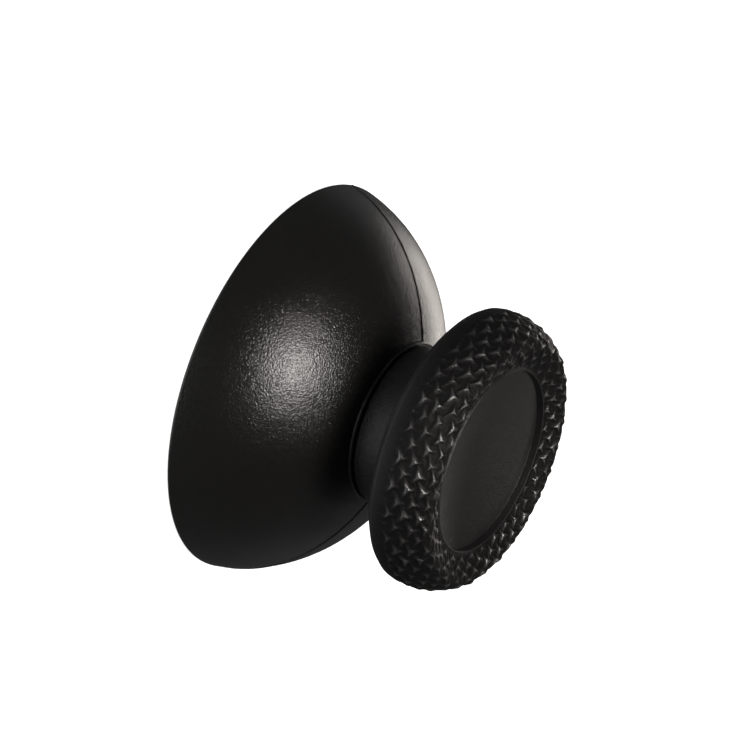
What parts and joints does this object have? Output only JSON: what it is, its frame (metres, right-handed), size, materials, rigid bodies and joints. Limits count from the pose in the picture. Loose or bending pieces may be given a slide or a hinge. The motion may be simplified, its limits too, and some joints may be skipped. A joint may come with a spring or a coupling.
{
  "type": "analog stick cap",
  "caption": "Cap for a game controller's analog stick: a hollow plastic dome with a keyed socket, a short stem and a soft concave thumb pad with a knurled rim.",
  "frame": {"origin": "centre of the dome's open rim, in the rim's plane", "axes": "+Z along the stick towards the thumb pad; the mould's parting plane is XZ, and the socket's flats face +Y and -Y"},
  "size_m": [0.0246, 0.0246, 0.0154],
  "materials": {
    "hard_plastic": "black, fine moulded grain, satin",
    "soft_rubber": "black, matte, knurled on the rim"
  },
  "bodies": {
    "root": {"dome_core": "hard_plastic", "grip_overmould": "soft_rubber"}
  },
  "joints": []
}
